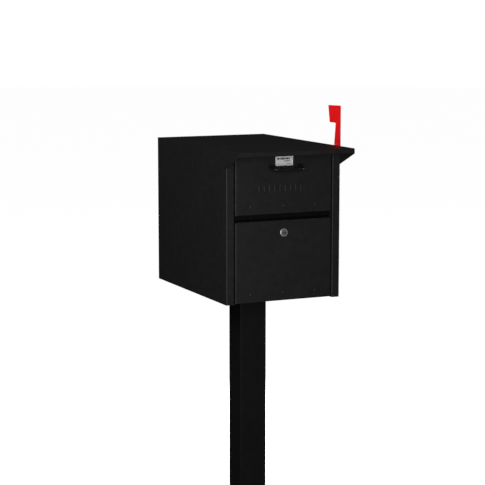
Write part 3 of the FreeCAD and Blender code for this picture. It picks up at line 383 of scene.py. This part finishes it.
def add_mesh(name, mesh, material):
    """A new object with a mesh, all of one material."""
    data = bpy.data.meshes.new(name)
    mesh.to_mesh(data)
    mesh.free()
    data.materials.append(material)
    return add_object(name, data)


def piece(name, mesh, material, body):
    """A new piece of the mailbox, which rides on a body."""
    mesh.normal_update()
    made = add_mesh(name, mesh, material)
    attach(made, body)
    return made


def post_outline(low, high, corner, spacing):
    """Points and outward directions, evenly spaced round a square post with rounded corners, at height 0."""
    centre = (low + high) / 2
    straight = (high.x - low.x) / 2 - corner
    turn = corner * math.pi / 2
    side_steps = round(2 * straight / spacing)
    turn_steps = round(turn / spacing)
    points = []
    for side in range(4):
        heading = side * math.pi / 2
        outward = Vector((math.cos(heading), math.sin(heading), 0))
        onward = Vector((-outward.y, outward.x, 0))
        for step in range(side_steps):
            along = onward * (2 * straight * step / side_steps - straight)
            points.append((centre.xy.to_3d() + outward * (straight + corner) + along, outward))
        for step in range(turn_steps):
            angle = heading + math.pi / 2 * step / turn_steps
            direction = Vector((math.cos(angle), math.sin(angle), 0))
            points.append((centre.xy.to_3d() + (outward + onward) * straight + direction * corner, direction))
    return points


def weld_bead(mesh, ring, floor, up):
    """Rippled fillet round the post, its foot on a plate at a height, reaching up or down the post."""
    loops = []
    for index, (point, outward) in enumerate(ring):
        wave = abs(math.sin(math.pi * index / BEAD_STEPS))
        loop = [mesh.verts.new(point + Z * floor)]
        for step in range(BEAD_ARC + 1):
            angle = math.pi / 2 * step / BEAD_ARC
            fill = 1 - BEAD_RIPPLE * (1 - wave ** BEAD_RIPPLE_POWER) * math.sin(2 * angle)
            bulge = BEAD_WAIST + (1 - BEAD_WAIST) * abs(math.cos(2 * angle)) ** BEAD_WAIST_POWER
            reach = BEAD_LEG * fill * bulge
            rise = up * math.sin(angle) * reach
            loop.append(mesh.verts.new(point + outward * math.cos(angle) * reach + Z * (floor + rise)))
        loops.append(loop)
    for loop, following in zip(loops, loops[1:] + loops[:1]):
        for step in range(len(loop)):
            other = (step + 1) % len(loop)
            corners = (loop[step], following[step], following[other], loop[other])
            face = mesh.faces.new(corners if up > 0 else corners[::-1])
            face.smooth = 0 < step < len(loop) - 1


def pedestal_welds(material):
    """The bead at the foot of the post and the one at its head."""
    low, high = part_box("pedestal_post")
    weld_low, weld_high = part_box("pedestal_welds")
    ring = post_outline(low, high, POST_CORNER, BEAD_PITCH / BEAD_STEPS)
    mesh = bmesh.new()
    weld_bead(mesh, ring, weld_low.z, 1)
    weld_bead(mesh, ring, weld_high.z, -1)
    bmesh.ops.recalc_face_normals(mesh, faces=mesh.faces)
    made = piece("weld_beads", mesh, material, "cabinet")
    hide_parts("pedestal_welds")


def mark(mesh, left, right, low, high, front, back):
    """Flat printed mark with rounded corners, from its back face to its front face."""
    radius = min((high - low) / 2, (right - left) / 2) * PRINT_ROUNDING
    corners = ((right - radius, high - radius, 0), (left + radius, high - radius, 90),
               (left + radius, low + radius, 180), (right - radius, low + radius, 270))
    outline = []
    for x, z, turn in corners:
        for step in range(PRINT_CORNER_STEPS + 1):
            angle = math.radians(turn + 90 * step / PRINT_CORNER_STEPS)
            outline.append((x + radius * math.cos(angle), z + radius * math.sin(angle)))
    near = [mesh.verts.new((x, front, z)) for x, z in outline]
    far = [mesh.verts.new((x, back, z)) for x, z in outline]
    mesh.faces.new(near)
    mesh.faces.new(far[::-1])
    for index in range(len(outline)):
        other = (index + 1) % len(outline)
        mesh.faces.new((near[other], near[index], far[index], far[other]))


def label_print(material):
    """Lines of plain marks, where such a label carries its print."""
    low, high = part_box("label_plate")
    field = low.y + LABEL_RIM
    front, back = field - PRINT_RISE, field + PRINT_RISE
    left = low.x + LABEL_MARGIN
    width = high.x - low.x - 2 * LABEL_MARGIN
    mesh = bmesh.new()
    for middle, tall, start_share, marks in PRINT_LINES:
        z = low.z + (high.z - low.z) * middle
        x = left + width * start_share
        for share in marks:
            step = width * share
            mark(mesh, x, x + step - PRINT_GAP, z - tall / 2, z + tall / 2, front, back)
            x += step
    bmesh.ops.recalc_face_normals(mesh, faces=mesh.faces)
    piece("label_print", mesh, material, "upper_door")


# ---- stage, light and camera ----

def floor_material():
    """White to look at, and dark to the light that it sends back at the object."""
    material, shader = start("studio_floor")
    tree = material.node_tree
    seen = node(tree, "LightPath").outputs["Is Camera Ray"]
    shade = blend_colours(tree, seen, scaled((1, 1, 1), FLOOR_BOUNCED), scaled((1, 1, 1), FLOOR_SHOWN))
    tree.links.new(shade, shader.inputs["Base Color"])
    tree.links.new(product(tree, seen, FLOOR_GLOW), shader.inputs["Emission Strength"])
    shader.inputs["Emission Color"].default_value = (1, 1, 1, 1)
    shader.inputs["Roughness"].default_value = FLOOR_ROUGHNESS
    shader.inputs["Specular IOR Level"].default_value = 0.0
    return material


def floor():
    """Pale round floor."""
    mesh = bmesh.new()
    bmesh.ops.create_circle(mesh, cap_ends=True, segments=FLOOR_SIDES, radius=FLOOR_RADIUS)
    made = add_mesh("studio_floor", mesh, floor_material())


def sky():
    """White to look at, and a dim even light on the object."""
    world = bpy.data.worlds.new("studio")
    bpy.context.scene.world = world
    world.use_nodes = True
    tree = world.node_tree
    seen = node(tree, "LightPath").outputs["Is Camera Ray"]
    strength = node(tree, "Mix", {0: seen, 2: SKY_LIGHT, 3: SKY_SHOWN}).outputs[0]
    tree.links.new(strength, tree.nodes["Background"].inputs["Strength"])
    tree.nodes["Background"].inputs["Color"].default_value = (1, 1, 1, 1)


def softbox(name, place, aim, width, tall, watts):
    """Rectangular lamp that faces a point. It isn't seen itself."""
    lamp = bpy.data.lights.new(name, "AREA")
    lamp.shape = "RECTANGLE"
    lamp.size = width
    lamp.size_y = tall
    lamp.energy = watts
    made = add_object(name, lamp)
    made.location = place
    made.rotation_euler = (aim - made.location).to_track_quat("-Z", "Y").to_euler()
    made.visible_camera = False


def lights():
    """Four lamps round the cabinet, all aimed at its middle."""
    low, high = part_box("left_side_panel")
    middle = Vector((0, (low.y + high.y) / 2, (low.z + high.z) / 2))
    for name, place, width, tall, watts in SOFTBOXES:
        softbox(name, middle + Vector(place), middle, width, tall, watts)


def camera():
    """At the catalogue angle: from the front left, a little above the roof."""
    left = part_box("left_side_panel")[0].x
    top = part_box("top_panel")[1].z
    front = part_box("lower_door_panel")[0].y
    aim = Vector((left + AIM_INSET, front, top - AIM_DROP))
    back = Vector((math.sin(CAMERA_AZIMUTH) * math.cos(CAMERA_ELEVATION),
                   -math.cos(CAMERA_AZIMUTH) * math.cos(CAMERA_ELEVATION), math.sin(CAMERA_ELEVATION)))
    data = bpy.data.cameras.new("camera")
    data.lens = LENS
    made = add_object("camera", data)
    made.location = aim + back * CAMERA_DISTANCE
    made.rotation_euler = (math.pi / 2 - CAMERA_ELEVATION, 0, CAMERA_AZIMUTH)
    bpy.context.scene.camera = made


bpy.context.scene.view_settings.view_transform = "Standard"
palette = materials()
finish_nodes(palette)
pedestal_welds(palette["pedestal_paint"])
label_print(moulded("label_ink", (0.030, 0.030, 0.032), 0.45, 1800.0, 0.00001))
floor()
sky()
lights()
camera()
